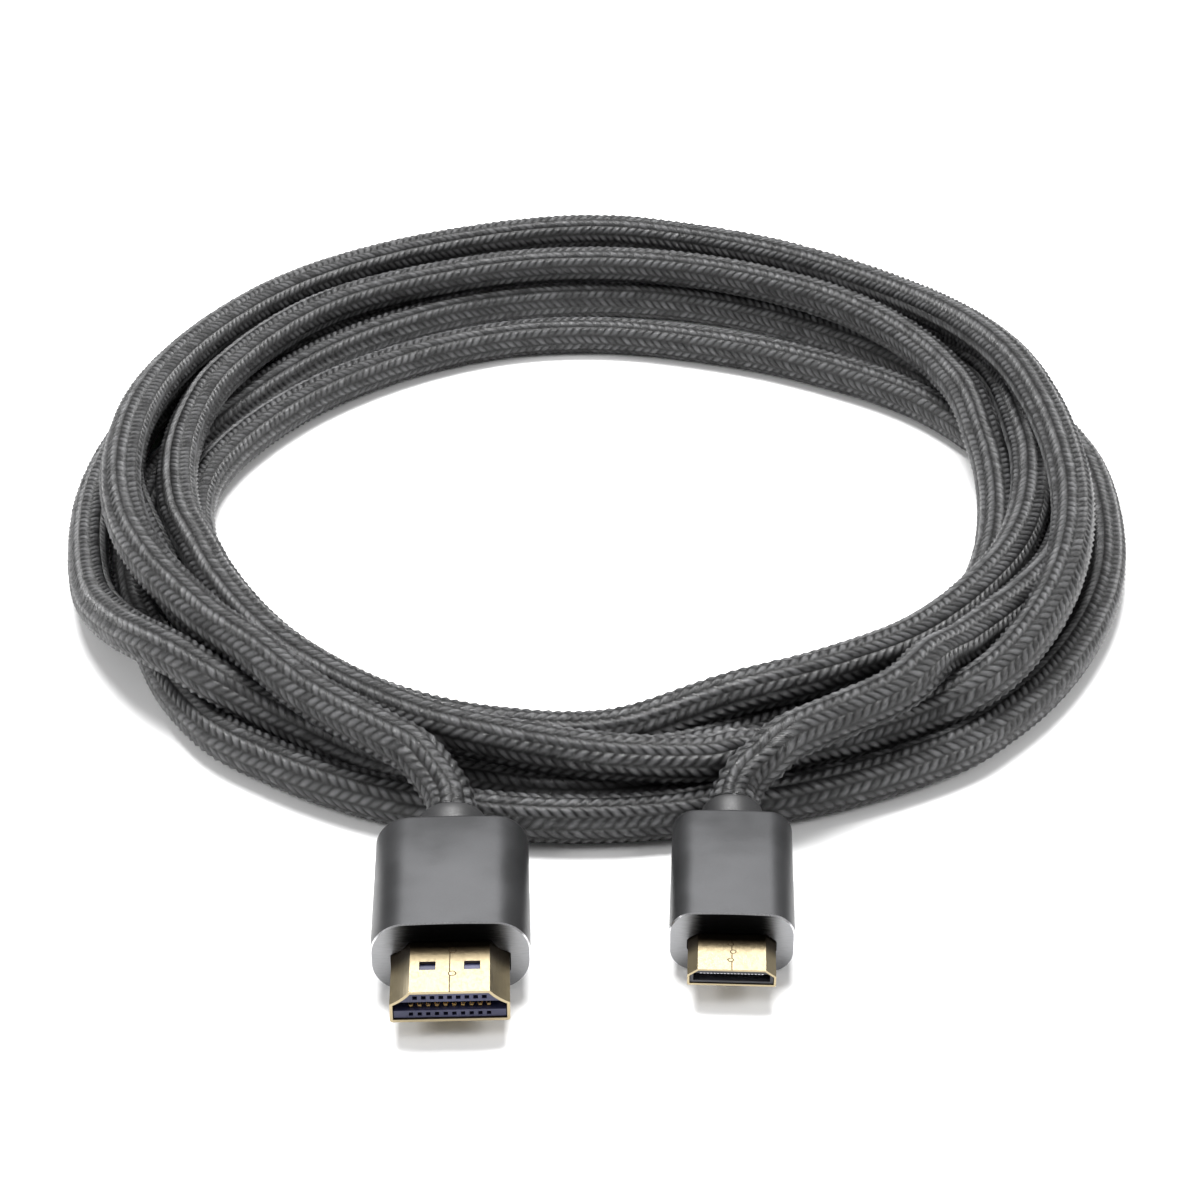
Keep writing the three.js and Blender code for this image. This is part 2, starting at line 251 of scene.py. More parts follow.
def smeared(field, weights):
    """A field along the cable, averaged with its neighbours and held at zero at both ends."""
    half = len(weights) // 2
    padded = np.pad(field, ((half, half), (0, 0)))
    return sum(w * padded[i:i + len(field)] for i, w in enumerate(weights))


def settled(wanted):
    """Lets the cable settle: it sinks, and turns that touch push each other apart, as stiff as the sleeve."""
    line = wanted.copy()
    count = len(line)
    apart = math.ceil(SAME_STRAND / ROUTE_STEP)
    offsets = np.arange(-SETTLING_SMOOTHNESS, SETTLING_SMOOTHNESS + 1)
    weights = np.exp(-0.5 * (offsets / (SETTLING_SMOOTHNESS / 2.5)) ** 2)
    weights /= weights.sum()
    from_end = np.minimum(np.arange(count), np.arange(count)[::-1])
    free = np.clip(from_end / HELD_STEPS, 0, 1)[:, None]
    for round_no in range(SETTLING_ROUNDS):
        if round_no % 10 == 0:
            square = (line**2).sum(axis=1)
            gap2 = square[:, None] + square[None, :] - 2 * line @ line.T
            i, j = np.nonzero(np.triu(gap2 < SEARCH_REACH**2, apart))
        moved = line - wanted
        moved[:, 2] -= SINKING
        moved[:, :2] *= PULL_BACK
        line = wanted + smeared(moved, weights) * free
        for _ in range(PUSHES_PER_ROUND):
            delta = line[i] - line[j]
            gap = np.sqrt((delta**2).sum(axis=1)) + 1e-9
            push = PUSH_SHARE * delta * (np.maximum(CONTACT - gap, 0) / gap)[:, None]
            for axis in range(3):
                line[:, axis] += np.bincount(i, push[:, axis], count) - np.bincount(j, push[:, axis], count)
            line[:, 2] = np.maximum(line[:, 2], CABLE_DIAMETER / 2)
            line = wanted + (line - wanted) * free
    return line


cable_line = settled(smooth_through(route_points(), ROUTE_STEP))

# Braided sleeve
# Nylon yarns woven tightly over the cable's jacket. They show as twelve columns of short flat floats,
# each a bundle of fine filaments, that slant one way in one column and the other way in the next. Every
# second column is set half a float further along.
FLOAT_COLUMNS = 12
FLOAT_PITCH = 1.47 * MM
FLOAT_SLANT = 1.3 * MM
VALLEY_DEPTH = 0.3 * MM
FLOAT_GAP_DEPTH = 0.32 * MM
YARN_UNEVENNESS = 0.03 * MM
YARN_SEED = 11
FILAMENTS = 7
FINE_STEP = 1 * MM


def frames_along(line):
    """Ring directions that follow a line without twisting round it."""
    ahead = np.gradient(line, axis=0)
    ahead /= np.linalg.norm(ahead, axis=1)[:, None]
    side = np.zeros_like(ahead)
    side[0] = np.cross(ahead[0], (0, 0, 1))
    side[0] /= np.linalg.norm(side[0])
    for i in range(1, len(line)):
        turned = side[i - 1] - ahead[i] * np.dot(side[i - 1], ahead[i])
        side[i] = turned / np.linalg.norm(turned)
    return side, np.cross(ahead, side)


def sampled(values, spacing, at):
    """Values given one spacing apart along the cable, read at any distances along it."""
    steps = np.arange(len(values)) * spacing
    return np.stack([np.interp(at, steps, values[:, i]) for i in range(3)], axis=-1)


fine_line = smooth_through(cable_line, FINE_STEP)
spacing = float(np.linalg.norm(np.diff(fine_line, axis=0), axis=1).mean())
cable_length = spacing * (len(fine_line) - 1)
fine_side, fine_up = frames_along(fine_line)

around = 2 * FLOAT_COLUMNS
rings = 2 * round(cable_length / FLOAT_PITCH) + 1
ring_at = np.linspace(0, cable_length, rings)
corner = np.arange(around)
slant = FLOAT_SLANT / 2 * np.array([-1, 0, 1, 0])[corner % 4]
ends_square = np.clip(np.minimum(ring_at, cable_length - ring_at) / (4 * FLOAT_PITCH), 0, 1)
at = np.clip(ring_at[:, None] + ends_square[:, None] * slant[None, :], 0, cable_length)
in_gap = (np.arange(rings)[:, None] + (corner // 2)[None, :]) % 2 == 0
in_valley = (corner % 2 == 0)[None, :]
depth = np.where(in_valley, VALLEY_DEPTH, np.where(in_gap, FLOAT_GAP_DEPTH, 0))
depth = depth + np.random.default_rng(YARN_SEED).normal(0, YARN_UNEVENNESS, depth.shape)
radius = CABLE_DIAMETER / 2 - np.clip(depth, 0, None)
turn = (2 * math.pi * corner / around)[None, :, None]
outwards = np.cos(turn) * sampled(fine_side, spacing, at) + np.sin(turn) * sampled(fine_up, spacing, at)
sleeve_points = sampled(fine_line, spacing, at) + radius[:, :, None] * outwards

ring_no, corner_no = np.meshgrid(np.arange(rings - 1), corner, indexing="ij")
next_corner = (corner_no + 1) % around
quads = np.stack(
    [
        ring_no * around + corner_no,
        ring_no * around + next_corner,
        (ring_no + 1) * around + next_corner,
        (ring_no + 1) * around + corner_no,
    ],
    axis=-1,
).reshape(-1, 4)
caps = [list(range(around))[::-1], list(range((rings - 1) * around, rings * around))]
sleeve_mesh = bpy.data.meshes.new("braided_cable")
sleeve_mesh.from_pydata(sleeve_points.reshape(-1, 3).tolist(), [], quads.tolist() + caps)
sleeve_mesh.shade_smooth()

# The weave's own map: float widths along the cable, and float columns round it
weave_map = sleeve_mesh.uv_layers.new(name="weave")
map_places = np.zeros((len(sleeve_mesh.loops), 2))
quad_corners = np.stack(
    [
        np.stack([ring_no, corner_no], axis=-1),
        np.stack([ring_no, corner_no + 1], axis=-1),
        np.stack([ring_no + 1, corner_no + 1], axis=-1),
        np.stack([ring_no + 1, corner_no], axis=-1),
    ],
    axis=2,
).reshape(-1, 2)
map_places[:len(quad_corners)] = quad_corners / 2
weave_map.data.foreach_set("uv", map_places.ravel())
braided_cable = bpy.data.objects.new("braided_cable", sleeve_mesh)
bpy.context.scene.collection.objects.link(braided_cable)


def add_node(tree, kind, inputs=(), **settings):
    """A shader node with its settings, and its inputs set to values or wired to other nodes' outputs."""
    made = tree.nodes.new("ShaderNode" + kind)
    for name, value in settings.items():
        setattr(made, name, value)
    for key, value in dict(inputs).items():
        if isinstance(value, bpy.types.NodeSocket):
            tree.links.new(value, made.inputs[key])
        else:
            made.inputs[key].default_value = value
    return made


def compute(tree, operation, *values):
    """The result of one mathematical operation."""
    return add_node(tree, "Math", enumerate(values), operation=operation).outputs[0]


def blended(tree, share, low, high):
    """A colour between two colours."""
    mix = add_node(tree, "Mix", {0: share, 6: low, 7: high}, data_type="RGBA")
    return mix.outputs[2]


def stepped(tree, value, low, high, to_low=0.0, to_high=1.0):
    """A smooth step of a value from one range to another."""
    inputs = {"Value": value, "From Min": low, "From Max": high, "To Min": to_low, "To Max": to_high}
    return add_node(tree, "MapRange", inputs, interpolation_type="SMOOTHSTEP").outputs[0]


def new_material(name, **shader_values):
    """A material with its node tree and its shader, some of whose inputs are set."""
    material = bpy.data.materials.new(name)
    material.use_nodes = True
    shader = material.node_tree.nodes["Principled BSDF"]
    for key, value in shader_values.items():
        shader.inputs[key.replace("_", " ")].default_value = value
    return material, material.node_tree, shader


def woven_nylon():
    """Dark grey nylon: every float is rounded, ribbed by its filaments, and a little lighter or darker, with
    painted shade in the gaps between floats and between filaments.
    """
    material, tree, shader = new_material("woven_nylon", Specular_IOR_Level=0.6)
    weave = add_node(tree, "UVMap", uv_map="weave").outputs[0]
    floats_along, round_it, _ = add_node(tree, "SeparateXYZ", {0: weave}).outputs
    odd_column = compute(tree, "FLOORED_MODULO", compute(tree, "FLOOR", round_it), 2.0)
    along = compute(tree, "MULTIPLY_ADD", odd_column, 0.5, floats_along)
    float_phase = compute(tree, "FRACT", along)
    column_phase = compute(tree, "FRACT", round_it)
    crest = compute(tree, "SINE", compute(tree, "MULTIPLY", float_phase, math.pi))
    belly = compute(tree, "SINE", compute(tree, "MULTIPLY", column_phase, math.pi))
    crest = compute(tree, "POWER", compute(tree, "MAXIMUM", crest, 0.0), 1.3)
    bulge = compute(tree, "MULTIPLY", crest, compute(tree, "MAXIMUM", belly, 0.0))
    wander = add_node(tree, "TexNoise", {"Vector": weave, "Scale": 3.0, "Detail": 2.0}).outputs[0]
    wander = compute(tree, "MULTIPLY", wander, 5.0)
    ribs = compute(tree, "MULTIPLY_ADD", along, 2 * math.pi * FILAMENTS, wander)
    ribs = compute(tree, "MULTIPLY_ADD", compute(tree, "SINE", ribs), 0.5, 0.5)
    cell = {0: compute(tree, "FLOOR", along), 1: compute(tree, "FLOOR", round_it)}
    cell = add_node(tree, "CombineXYZ", cell).outputs[0]
    tint = add_node(tree, "TexWhiteNoise", {"Vector": cell}, noise_dimensions="2D").outputs[0]
    # Painted shade: the colour falls to near black in the gaps between floats and in the grooves between
    # filaments; the random tint of each float is the yarn's own
    tint_and_painted_shade = compute(tree, "MULTIPLY", bulge, compute(tree, "MULTIPLY_ADD", ribs, 0.6, 0.4))
    tint_and_painted_shade = compute(tree, "MULTIPLY", tint_and_painted_shade, compute(tree, "MULTIPLY_ADD", tint, 1.1, 0.35))
    colour = blended(tree, tint_and_painted_shade, (0.001, 0.001, 0.001, 1), (0.13, 0.131, 0.135, 1))
    height = compute(tree, "MULTIPLY_ADD", ribs, 0.22, bulge)
    bump = add_node(tree, "Bump", {"Strength": 0.9, "Distance": 0.35 * MM, "Height": height})
    tree.links.new(colour, shader.inputs["Base Color"])
    tree.links.new(stepped(tree, ribs, 0.0, 1.0, 0.42, 0.26), shader.inputs["Roughness"])
    tree.links.new(bump.outputs[0], shader.inputs["Normal"])
    return material


sleeve_mesh.materials.append(woven_nylon())
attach(braided_cable, "root")
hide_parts("cable_coil", "cable_lead_type_a", "cable_lead_mini")

# Plug housings
# Each housing is a sleeve of metal with round ends to its section, a slightly crowned top and bottom, and
# a satin grey finish. Its front face is turned flat afterwards, which leaves it brushed and bright-edged.
HOUSINGS = {
    "type_a": {"width": 18.9, "height": 10.3, "length": 21.4, "corner": 4.3},
    "mini": {"width": 15.0, "height": 8.9, "length": 21.0, "corner": 3.1},
}
HOUSING_CROWN = 0.2
HOUSING_CHAMFER = 0.16
HOUSING_REAR_ROUNDING = 0.7
CORNER_STEPS = 16
CROWN_STEPS = 16
MOUTH_DEPTH = 3.6
SHELL_CLEARANCE = 0.14

# Shell sections in millimetres: the wide side is down, and the shoulders lead to a narrower top.
SHELLS = {
    "type_a": {"width": 13.9, "height": 4.45, "top": 9.3, "shoulder": 2.65, "hollow": 0.3, "reach": 8.8},
    "mini": {"width": 10.42, "height": 2.42, "top": 8.0, "shoulder": 1.5, "hollow": 0.0, "reach": 6.4},
}


def housing_outline(housing, inset, count=120):
    """Points of a housing's section, evenly round it, moved inwards by inset."""
    half = housing["width"] / 2
    top = housing["height"] - HOUSING_CROWN / 2
    low = HOUSING_CROWN / 2
    r = housing["corner"]
    corners = (
        (half - r, low + r, -90),
        (half - r, top - r, 0),
        (r - half, top - r, 90),
        (r - half, low + r, 180),
    )
    points = []
    for middle_x, middle_z, start in corners:
        for i in range(CORNER_STEPS + 1):
            angle = math.radians(start + 90 * i / CORNER_STEPS)
            x = middle_x + (r - inset) * math.cos(angle)
            z = middle_z + (r - inset) * math.sin(angle)
            points.append((x, z))
        if start in (0, 180):
            side = 1 if start == 0 else -1
            edge_z = points[-1][1]
            for i in range(1, CROWN_STEPS):
                x = side * (half - r) * (1 - 2 * i / CROWN_STEPS)
                crown = HOUSING_CROWN / 2 * (1 - (x / (half - r)) ** 2)
                points.append((x, edge_z + side * crown))
    ring = np.array(points + points[:1])
    run = np.concatenate([[0], np.cumsum(np.linalg.norm(np.diff(ring, axis=0), axis=1))])
    at = np.linspace(0, run[-1], count, endpoint=False)
    return np.stack([np.interp(at, run, ring[:, i]) for i in (0, 1)], axis=1)


def shell_outline(name, grow):
    """Corner points of a shell's section with its shoulders, moved outwards by grow."""
    shell = SHELLS[name]
    half = shell["width"] / 2 + grow
    base = (HOUSINGS[name]["height"] - shell["height"]) / 2
    low = base - grow
    high = base + shell["height"] + grow
    shoulder = base + shell["shoulder"] + grow / 2
    top = shell["top"] / 2 + grow / 2
    bend = ((half + top) / 2 - shell["hollow"] * 0.6, (shoulder + high) / 2 - shell["hollow"] * 0.8)
    right = [(half - 0.3, low), (half, low + 0.3), (half, shoulder), bend, (top, high)]
    return right + [(-x, z) for x, z in reversed(right)]


def by_angle(points, middle, angles):
    """Where rays from the middle at these angles meet a closed outline."""
    ring = np.array(points + points[:1], float)
    run = np.concatenate([[0], np.cumsum(np.linalg.norm(np.diff(ring, axis=0), axis=1))])
    at = np.linspace(0, run[-1], 1200, endpoint=False)
    dense = np.stack([np.interp(at, run, ring[:, i]) for i in (0, 1)], axis=1) - middle
    dense_angle = np.arctan2(dense[:, 1], dense[:, 0])
    order = np.argsort(dense_angle)
    radius = np.interp(angles, dense_angle[order], np.linalg.norm(dense, axis=1)[order], period=2 * math.pi)
    return middle + radius[:, None] * np.stack([np.cos(angles), np.sin(angles)], axis=1)


def skin(bm, loops, closed_end=None):
    """Joins rings of the same number of vertices by quads, and closes the last or first one if asked."""
    rows = [[bm.verts.new(point) for point in loop] for loop in loops]
    made = []
    for one, two in zip(rows, rows[1:]):
        count = len(one)
        for i in range(count):
            made.append(bm.faces.new((one[i], one[(i + 1) % count], two[(i + 1) % count], two[i])))
    if closed_end:
        made.append(bm.faces.new(rows[-1] if closed_end == "last" else rows[0][::-1]))
    return made


def finished_object(name, bm, frame_matrix, smooth_angle, *materials):
    """A piece from its mesh, in place, with smooth shading up to an angle."""
    bmesh.ops.remove_doubles(bm, verts=bm.verts, dist=1e-5)
    bmesh.ops.recalc_face_normals(bm, faces=bm.faces)
    bm.transform(frame_matrix)
    mesh = bpy.data.meshes.new(name)
    bm.to_mesh(mesh)
    bm.free()
    mesh.shade_smooth()
    mesh.set_sharp_from_angle(angle=math.radians(smooth_angle))
    for material in materials:
        mesh.materials.append(material)
    piece = bpy.data.objects.new(name, mesh)
    bpy.context.scene.collection.objects.link(piece)
    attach(piece, "root")
    return piece


def fine_grain_group():
    """Fine speckle with slow cloudiness, for blasted metal, moulded plastic and rubber."""
    group = bpy.data.node_groups.new("fine_grain", "ShaderNodeTree")
    group.interface.new_socket("Grains per metre", in_out="INPUT", socket_type="NodeSocketFloat")
    group.interface.new_socket("Speckle", in_out="OUTPUT", socket_type="NodeSocketFloat")
    group.interface.new_socket("Cloud", in_out="OUTPUT", socket_type="NodeSocketFloat")
    given = group.nodes.new("NodeGroupInput")
    place = add_node(group, "TexCoord").outputs["Object"]
    speckle = add_node(group, "TexNoise", {"Vector": place, "Scale": given.outputs[0], "Detail": 3.0})
    cloud = add_node(group, "TexNoise", {"Vector": place, "Scale": 160.0, "Detail": 2.0})
    out = group.nodes.new("NodeGroupOutput")
    group.links.new(speckle.outputs[0], out.inputs["Speckle"])
    group.links.new(cloud.outputs[0], out.inputs["Cloud"])
    return group


FINE_GRAIN = fine_grain_group()


def add_fine_grain(tree, grains_per_metre):
    """The fine grain's two masks, at a given fineness."""
    grain = add_node(tree, "Group", node_tree=FINE_GRAIN)
    grain.inputs[0].default_value = grains_per_metre
    return grain.outputs["Speckle"], grain.outputs["Cloud"]


def satin_grey():
    """Blasted and anodised metal, mid grey and satin, with faint cloudiness."""
    material, tree, shader = new_material("satin_grey_metal", Metallic=0.8, Specular_IOR_Level=0.5)
    speckle, cloud = add_fine_grain(tree, 9000.0)
    tone = compute(tree, "MULTIPLY_ADD", speckle, 0.5, compute(tree, "MULTIPLY", cloud, 0.5))
    colour = blended(tree, stepped(tree, tone, 0.3, 0.7), (0.043, 0.0435, 0.045, 1), (0.057, 0.0575, 0.06, 1))
    bump = add_node(tree, "Bump", {"Strength": 0.18, "Distance": 0.05 * MM, "Height": speckle})
    tree.links.new(colour, shader.inputs["Base Color"])
    tree.links.new(stepped(tree, cloud, 0.3, 0.7, 0.4, 0.48), shader.inputs["Roughness"])
    tree.links.new(bump.outputs[0], shader.inputs["Normal"])
    return material


def in_plug_frame(tree, plug):
    """Object coordinates turned into the plug's own frame, in metres."""
    place = add_node(tree, "TexCoord").outputs["Object"]
    at = (plug["at"][0] * MM, plug["at"][1] * MM, 0)
    turned = (NOSE_DOWN, 0, math.radians(plug["yaw"]))
    inputs = {"Vector": place, "Location": at, "Rotation": turned}
    return add_node(tree, "Mapping", inputs, vector_type="TEXTURE").outputs[0]


def brushed_face(name):
    """The turned front face: fine slanting brush lines, bright towards its ends, with a painted dark
    reflection over the shell.
    """
    material, tree, shader = new_material("brushed_face_" + name, Metallic=1.0)
    place = in_plug_frame(tree, PLUGS[name])
    x, _, z = add_node(tree, "SeparateXYZ", {0: place}).outputs
    slant = {"Vector": place, "Rotation": (0, math.radians(38), 0), "Scale": (700, 1, 16000)}
    slanted = add_node(tree, "Mapping", slant).outputs[0]
    lines = add_node(tree, "TexNoise", {"Vector": slanted, "Scale": 1.0, "Detail": 3.0}).outputs[0]
    half = SHELLS[name]["width"] / 2 * MM
    from_middle = compute(tree, "ABSOLUTE", x)
    over_shell = stepped(tree, from_middle, half * 0.55, half * 1.2, 1.0, 0.0)
    shell_top = (HOUSINGS[name]["height"] + SHELLS[name]["height"]) / 2 * MM
    above = stepped(tree, z, shell_top - 2.2 * MM, shell_top + 0.2 * MM)
    # Painted dark reflection: the face's colour is darkened above the shell's top, near its middle
    painted_dark_reflection = compute(tree, "MULTIPLY", over_shell, above)
    tone = compute(tree, "MULTIPLY_ADD", lines, 0.5, compute(tree, "MULTIPLY", painted_dark_reflection, -0.72))
    tone = stepped(tree, compute(tree, "ADD", tone, 0.42), 0.0, 0.85)
    colour = blended(tree, tone, (0.0072, 0.0072, 0.0078, 1), (0.3, 0.303, 0.312, 1))
    bump = add_node(tree, "Bump", {"Strength": 0.3, "Distance": 0.04 * MM, "Height": lines})
    tree.links.new(colour, shader.inputs["Base Color"])
    tree.links.new(stepped(tree, lines, 0.3, 0.7, 0.28, 0.45), shader.inputs["Roughness"])
    tree.links.new(bump.outputs[0], shader.inputs["Normal"])
    return material


def polished_edge():
    """The chamfer left by turning the front face: bare bright metal."""
    material, tree, shader = new_material("polished_edge", Metallic=1.0)
    speckle, cloud = add_fine_grain(tree, 4000.0)
    colour = blended(tree, speckle, (0.42, 0.42, 0.43, 1), (0.8, 0.8, 0.82, 1))
    tree.links.new(colour, shader.inputs["Base Color"])
    tree.links.new(stepped(tree, cloud, 0.3, 0.7, 0.18, 0.3), shader.inputs["Roughness"])
    return material


SATIN_GREY = satin_grey()
POLISHED_EDGE = polished_edge()


def make_housing(name):
    """One housing: its body, its chamfered and brushed front face, and the mouth that the shell stands in."""
    housing = HOUSINGS[name]
    length = housing["length"]
    rounding = HOUSING_REAR_ROUNDING
    bm = bmesh.new()

    def ring(y, inset):
        return [(x, y, z) for x, z in housing_outline(housing, inset)]

    body = [ring(y, 0.0) for y in (HOUSING_CHAMFER, 0.6, length / 2, length - rounding)]
    for a in np.linspace(0.3, math.pi / 2, 5):
        body.append(ring(length - rounding * (1 - math.sin(a)), rounding * (1 - math.cos(a))))
    skin(bm, body, closed_end="last")
    edge = skin(bm, [ring(0.0, HOUSING_CHAMFER), ring(HOUSING_CHAMFER, 0.0)])
    face_ring = housing_outline(housing, HOUSING_CHAMFER)
    middle = np.array((0, housing["height"] / 2))
    from_middle = face_ring - middle
    angles = np.arctan2(from_middle[:, 1], from_middle[:, 0])
    mouth = by_angle(shell_outline(name, SHELL_CLEARANCE), middle, angles)
    face = skin(bm, [[(x, 0, z) for x, z in face_ring], [(x, 0, z) for x, z in mouth]])
    skin(bm, [[(x, y, z) for x, z in mouth] for y in (0, MOUTH_DEPTH)], closed_end="last")
    for one in edge:
        one.material_index = 1
    for one in face:
        one.material_index = 2
    materials = (SATIN_GREY, POLISHED_EDGE, brushed_face(name))
    piece = finished_object(name + "_housing_sleeve", bm, plug_frame(PLUGS[name]), 30, *materials)
    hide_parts(name + "_housing")
    return piece


housing_sleeves = {name: make_housing(name) for name in PLUGS}

# Plug shells
# Each shell is one strip of gold-plated sheet steel, rolled round the insert and locked along its top by
# two round tongues. On the type A plug the top has two windows for the socket's springs.
SEAM_WIDTH = 0.06 * MM
TONGUES = {
    "type_a": {"radius": 0.42, "places": ((0.3, -1.5), (0.3, -5.6))},
    "mini": {"radius": 0.32, "places": ((-0.15, -1.7), (0.15, -3.1), (-0.15, -4.6))},
}
# Where the painted shade on each shell's top begins, in millimetres in front of its housing; it deepens
# towards the housing
PAINTED_SHADE_FROM = {"type_a": -5.2, "mini": -4.2}
SHELL_EDGE = 0.05 * MM


def rolled_gold(name):
    """Gold plate over rolled sheet: faintly speckled, with painted shade darkening it towards its root, and
    the seam in its top.
    """
    material, tree, shader = new_material("rolled_gold_" + name, Metallic=1.0)
    place = in_plug_frame(tree, PLUGS[name])
    x, y, z = add_node(tree, "SeparateXYZ", {0: place}).outputs
    radius = TONGUES[name]["radius"] * MM
    seam = compute(tree, "LESS_THAN", compute(tree, "ABSOLUTE", x), SEAM_WIDTH)
    flat = add_node(tree, "CombineXYZ", {0: x, 1: y}).outputs[0]
    for across, back in TONGUES[name]["places"]:
        middle = (across * MM, back * MM, 0)
        away = add_node(tree, "VectorMath", {0: flat, 1: middle}, operation="DISTANCE").outputs["Value"]
        rim = compute(tree, "COMPARE", away, radius, SEAM_WIDTH)
        outside = compute(tree, "GREATER_THAN", away, radius)
        seam = compute(tree, "MAXIMUM", compute(tree, "MULTIPLY", seam, outside), rim)
    housing, shell = HOUSINGS[name], SHELLS[name]
    top = (housing["height"] + shell["height"]) / 2 * MM
    seam = compute(tree, "MULTIPLY", seam, compute(tree, "GREATER_THAN", z, top - 0.1 * MM))
    grain = add_node(tree, "Mapping", {"Vector": place, "Scale": (2600, 1700, 2600)}).outputs[0]
    speckle = add_node(tree, "TexNoise", {"Vector": grain, "Scale": 1.0, "Detail": 3.0}).outputs[0]
    # Painted shade: the gold's colour darkens towards the housing, where the shell goes into it; the speckle
    # is the plate's own grain
    root = stepped(tree, y, PAINTED_SHADE_FROM[name] * MM, -0.8 * MM)
    grain_and_painted_shade = compute(tree, "MULTIPLY_ADD", speckle, 0.07, compute(tree, "MULTIPLY", root, 0.85))
    colour = blended(tree, stepped(tree, grain_and_painted_shade, 0.05, 1.0), (0.36, 0.3, 0.19, 1), (0.05, 0.036, 0.022, 1))
    colour = blended(tree, seam, colour, (0.05, 0.035, 0.02, 1))
    depth = compute(tree, "MULTIPLY_ADD", speckle, 0.01, compute(tree, "MULTIPLY", seam, -1.0))
    bump = add_node(tree, "Bump", {"Strength": 0.5, "Distance": 0.06 * MM, "Height": depth})
    tree.links.new(colour, shader.inputs["Base Color"])
    tree.links.new(stepped(tree, speckle, 0.3, 0.7, 0.28, 0.36), shader.inputs["Roughness"])
    tree.links.new(bump.outputs[0], shader.inputs["Normal"])
    return material


for name in PLUGS:
    shell_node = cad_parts[name + "_shell"]
    shell_node.material_slots[0].material = rolled_gold(name)
    rolled_edge = shell_node.modifiers.new("rolled_edge", "BEVEL")
    rolled_edge.width = SHELL_EDGE
    rolled_edge.segments = 2
    rolled_edge.limit_method = "ANGLE"
    rolled_edge.angle_limit = math.radians(25)
    rolled_edge.harden_normals = True

# Inserts
# Each insert is one block of moulded plastic inside the shell. Its slot takes the socket's tongue, and the
# type A one has a row of square core holes over the slot and a row of notches under it.
CORE_HOLE = {"width": 0.55, "low": 3.1, "high": 3.62, "depth": 1.4}
LIP_NOTCH = {"width": 0.5, "low": 0.72, "high": 1.22, "depth": 0.9}
INSERT_RECESS = 0.25
CONTACT_PITCH = 1.0


def moulded_plastic(name, dark, light):
    """Plastic between two close colours, with a fine moulded skin."""
    material, tree, shader = new_material(name, Specular_IOR_Level=0.45)
    speckle, cloud = add_fine_grain(tree, 5000.0)
    colour = blended(tree, stepped(tree, cloud, 0.3, 0.7), dark, light)
    bump = add_node(tree, "Bump", {"Strength": 0.12, "Distance": 0.03 * MM, "Height": speckle})
    tree.links.new(colour, shader.inputs["Base Color"])
    tree.links.new(stepped(tree, speckle, 0.3, 0.7, 0.34, 0.5), shader.inputs["Roughness"])
    tree.links.new(bump.outputs[0], shader.inputs["Normal"])
    return material


def add_box(bm, low, high):
    """A box between two corners."""
    made = bmesh.ops.create_cube(bm, size=1.0)["verts"]
    size = Vector(high) - Vector(low)
    bmesh.ops.scale(bm, verts=made, vec=size)
    bmesh.ops.translate(bm, verts=made, vec=(Vector(high) + Vector(low)) / 2)


def carve_insert():
    """The type A insert's solid with its core holes and notches cut out of its front face."""
    base = (HOUSINGS["type_a"]["height"] - SHELLS["type_a"]["height"]) / 2
    front = INSERT_RECESS - SHELLS["type_a"]["reach"]
    bm = bmesh.new()
    for row, count in ((CORE_HOLE, 9), (LIP_NOTCH, 10)):
        for i in range(count):
            x = (i - (count - 1) / 2) * CONTACT_PITCH
            low = (x - row["width"] / 2, front - 0.5, base + row["low"])
            high = (x + row["width"] / 2, front + row["depth"], base + row["high"])
            add_box(bm, low, high)
    bm.transform(plug_frame(PLUGS["type_a"]))
    cutter_mesh = bpy.data.meshes.new("insert_cutter")
    bm.to_mesh(cutter_mesh)
    bm.free()
    cutter = bpy.data.objects.new("insert_cutter", cutter_mesh)
    bpy.context.scene.collection.objects.link(cutter)
    carved = bpy.data.objects.new("type_a_insert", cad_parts["type_a_insulator"].data.copy())
    bpy.context.scene.collection.objects.link(carved)
    cut = carved.modifiers.new("cut", "BOOLEAN")
    cut.object = cutter
    cut.solver = "EXACT"
    evaluated = carved.evaluated_get(bpy.context.evaluated_depsgraph_get())
    carved.data = bpy.data.meshes.new_from_object(evaluated)
    carved.modifiers.clear()
    bpy.data.objects.remove(cutter)
    return carved


type_a_insert = carve_insert()
blue_black = moulded_plastic("blue_black_plastic", (0.022, 0.024, 0.06, 1), (0.045, 0.048, 0.11, 1))
type_a_insert.data.materials.clear()
type_a_insert.data.materials.append(blue_black)
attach(type_a_insert, "root")
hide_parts("type_a_insulator")
mini_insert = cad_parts["mini_insulator"]
black = moulded_plastic("black_plastic", (0.02, 0.02, 0.024, 1), (0.042, 0.042, 0.05, 1))
mini_insert.material_slots[0].material = black

# Contacts
# The contacts are stamped strips that lie in the slot and spring towards the socket's tongue: nineteen gold
# ones in two rows in the type A plug, and nineteen bright ones under the slot's roof in the mini plug.
SPRING = {"width": 0.5, "thickness": 0.16, "rise": 0.24, "seat": 0.04, "clear": 0.05}
SPRING_BEND = ((0.0, 0.0), (0.12, 0.55), (0.3, 0.92), (0.5, 1.0), (0.75, 0.85), (1.3, 0.25), (2.0, 0.0))
CONTACT_ROWS = {"lower": 10, "upper": 9}


def plated_metal(name, colour_low, colour_high):
    """Bright plating, a little uneven in colour and shine."""
    material, tree, shader = new_material(name, Metallic=1.0)
    speckle, cloud = add_fine_grain(tree, 6000.0)
    tree.links.new(blended(tree, speckle, colour_low, colour_high), shader.inputs["Base Color"])
    tree.links.new(stepped(tree, cloud, 0.3, 0.7, 0.2, 0.32), shader.inputs["Roughness"])
    return material


CONTACT_GOLD = plated_metal("contact_gold_plate", (0.6, 0.36, 0.12, 1), (0.95, 0.68, 0.3, 1))
CONTACT_SILVER = plated_metal("contact_silver_plate", (0.6, 0.61, 0.66, 1), (0.9, 0.9, 0.94, 1))


